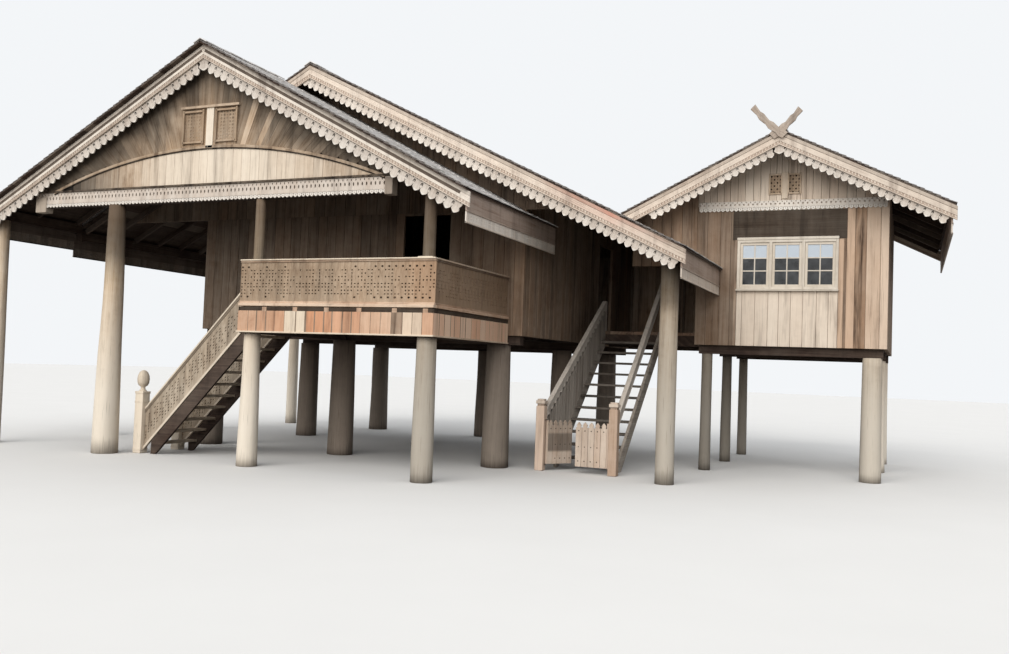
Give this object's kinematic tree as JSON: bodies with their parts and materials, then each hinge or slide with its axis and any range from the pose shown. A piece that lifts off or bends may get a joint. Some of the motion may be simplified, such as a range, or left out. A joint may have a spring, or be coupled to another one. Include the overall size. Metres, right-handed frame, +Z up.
{
  "type": "timber stilt house",
  "caption": "Raised timber house on round posts with three gabled roofs, carved veranda rail, open stairs and a small two-leaf picket gate before one stair",
  "frame": {"origin": "on the ground, under the middle of the whole object's box", "axes": "+X runs to the right seen from the front, +Y runs from the front to the back, +Z is up"},
  "size_m": [15.86, 10.1, 6.9],
  "materials": {
    "post_wood": "weathered hardwood, unpainted",
    "grey_post": "weathered hardwood, unpainted",
    "frame_wood": "weathered hardwood, unpainted",
    "floor_boards": "weathered hardwood, unpainted",
    "veranda_planks": "weathered hardwood, unpainted",
    "wall_planks": "weathered hardwood, unpainted",
    "window_paint": "beige paint, slightly worn",
    "window_glass": "clear panes",
    "gable_boards": "weathered hardwood, unpainted",
    "carved_wood": "weathered hardwood, unpainted",
    "roof_tiles": "weathered clay and cement tiles",
    "trim_boards": "weathered hardwood, unpainted",
    "stair_wood": "weathered hardwood, unpainted",
    "grey_stair": "weathered hardwood, unpainted",
    "gate_wood": "weathered hardwood, unpainted",
    "iron": "dark forged iron"
  },
  "bodies": {
    "house": {"tall_posts": "post_wood", "veranda_posts": "post_wood", "veranda_roof_posts": "post_wood", "main_posts": "grey_post", "right_posts": "post_wood", "floor_beams": "frame_wood", "floor_joists": "frame_wood", "veranda_floor": "floor_boards", "veranda_skirt": "veranda_planks", "veranda_rails": "veranda_planks", "room_floors": "floor_boards", "hall_floor": "floor_boards", "main_front_wall": "wall_planks", "main_back_wall": "wall_planks", "main_left_wall": "wall_planks", "main_right_wall": "wall_planks", "hall_walls": "wall_planks", "middle_gable_panels": "wall_planks", "right_front_wall": "wall_planks", "right_back_wall": "wall_planks", "right_left_wall": "wall_planks", "right_right_wall": "wall_planks", "right_gable_panels": "wall_planks", "window_frames": "window_paint", "window_sashes": "window_paint", "window_glass": "window_glass", "left_gable_panel": "gable_boards", "left_tie_beam": "frame_wood", "carved_tie_boards": "carved_wood", "roof_beams": "frame_wood", "left_roof_slopes": "roof_tiles", "middle_left_slope": "roof_tiles", "middle_right_slope": "roof_tiles", "right_left_slope": "roof_tiles", "right_right_slope": "roof_tiles", "left_bargeboards": "trim_boards", "middle_bargeboards": "trim_boards", "right_bargeboards": "trim_boards", "back_bargeboards": "trim_boards", "barge_fringes": "carved_wood", "eave_boards": "trim_boards", "crossed_finial": "carved_wood", "left_flight_strings": "stair_wood", "left_flight_treads": "stair_wood", "left_flight_rails": "stair_wood", "left_newels": "stair_wood", "centre_flight_strings": "grey_stair", "centre_flight_treads": "grey_stair", "centre_flight_rails": "grey_stair", "gate_posts": "gate_wood", "gate_pivots": "iron"},
    "left_leaf": {"gate_leaf_left": "gate_wood"},
    "right_leaf": {"gate_leaf_right": "gate_wood"}
  },
  "joints": [
    {"name": "left_leaf_hinge", "type": "hinge", "parent": "house", "child": "left_leaf", "pos_m": [1.793, -1.955, 0], "axis": [0, 0, 1], "range_deg": [-55, 35]},
    {"name": "right_leaf_hinge", "type": "hinge", "parent": "house", "child": "right_leaf", "pos_m": [2.877, -1.955, 0], "axis": [0, 0, -1], "range_deg": [0, 90]}
  ]
}
